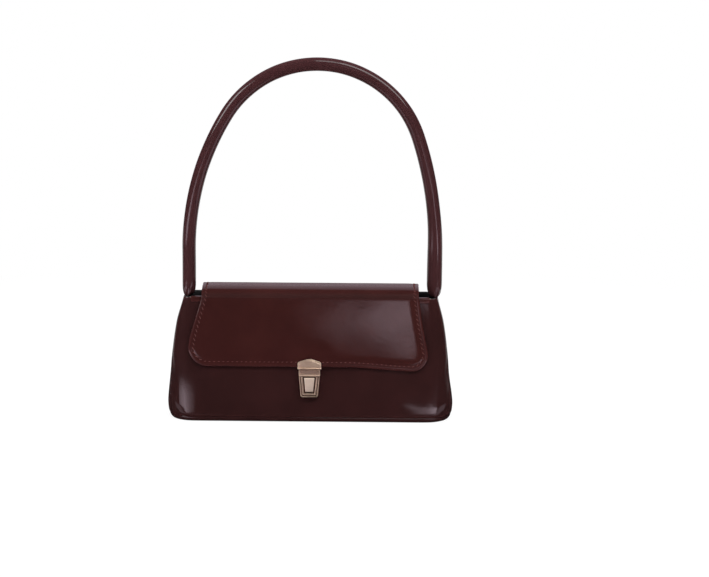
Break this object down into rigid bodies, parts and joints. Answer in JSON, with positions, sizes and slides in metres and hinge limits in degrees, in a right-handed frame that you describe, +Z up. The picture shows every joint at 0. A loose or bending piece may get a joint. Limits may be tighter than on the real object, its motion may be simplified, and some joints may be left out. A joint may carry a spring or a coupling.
{
  "type": "handbag",
  "caption": "Small flared handbag with a front flap, a push lock, a lined compartment and one arched padded handle.",
  "frame": {"origin": "centre of the base on the surface that the bag stands on", "axes": "+Z up towards the handle's crown; -Y towards the flap and lock; +X towards the wearer's right of the lock as seen from the front"},
  "size_m": [0.24, 0.0902, 0.3046],
  "materials": {
    "burgundy_leather": "smooth, glossy",
    "dark_leather": "smooth, glossy",
    "black_lining": "fine woven cloth",
    "stiffener_board": "pressed fibre board",
    "pale_gold_metal": "plated, polished",
    "bright_gold_metal": "plated, bright",
    "spring_steel": "plain",
    "cord_core": "twisted cotton cord"
  },
  "bodies": {
    "root": {"front_panel": "burgundy_leather", "back_panel": "burgundy_leather", "left_gusset": "dark_leather", "right_gusset": "dark_leather", "base_panel": "dark_leather", "front_board": "stiffener_board", "back_board": "stiffener_board", "base_board": "stiffener_board", "front_lining": "black_lining", "back_lining": "black_lining", "left_gusset_lining": "black_lining", "right_gusset_lining": "black_lining", "base_lining": "black_lining", "slip_pocket": "black_lining", "front_rim_binding": "burgundy_leather", "flap_tail": "burgundy_leather", "left_handle_tab": "dark_leather", "right_handle_tab": "dark_leather", "lock_case": "pale_gold_metal", "lock_back_plate": "pale_gold_metal", "case_prongs": "pale_gold_metal", "latch_spring": "spring_steel"},
    "flap_top": {"flap_top_leather": "burgundy_leather", "flap_top_board": "stiffener_board", "flap_top_lining": "black_lining"},
    "flap_front": {"flap_front_leather": "burgundy_leather", "flap_front_board": "stiffener_board", "flap_front_lining": "black_lining", "flap_plate": "bright_gold_metal", "lock_tongue": "pale_gold_metal", "plate_rivets": "pale_gold_metal"},
    "button": {"lock_button": "bright_gold_metal", "latch_plate": "spring_steel"},
    "handle": {"handle_cover": "burgundy_leather", "handle_core": "cord_core"}
  },
  "joints": [
    {"name": "flap_back_fold", "type": "hinge", "parent": "root", "child": "flap_top", "pos_m": [0, 0.01892, 0.10935], "axis": [-1, 0, 0], "range_deg": [0, 95]},
    {"name": "flap_front_fold", "type": "hinge", "parent": "flap_top", "child": "flap_front", "pos_m": [0, -0.02218, 0.1085], "axis": [-1, 0, 0], "range_deg": [0, 75]},
    {"name": "handle_swing", "type": "hinge", "parent": "root", "child": "handle", "pos_m": [0, 0, 0.1059], "axis": [1, 0, 0], "range_deg": [-60, 60]},
    {"name": "button_press", "type": "slide", "parent": "root", "child": "button", "axis": [0, 0.9696, -0.2448], "range_m": [0, 0.0012], "stiffness_N_per_m": 400, "springref_m": -0.001, "deforming": ["latch_spring"]}
  ]
}
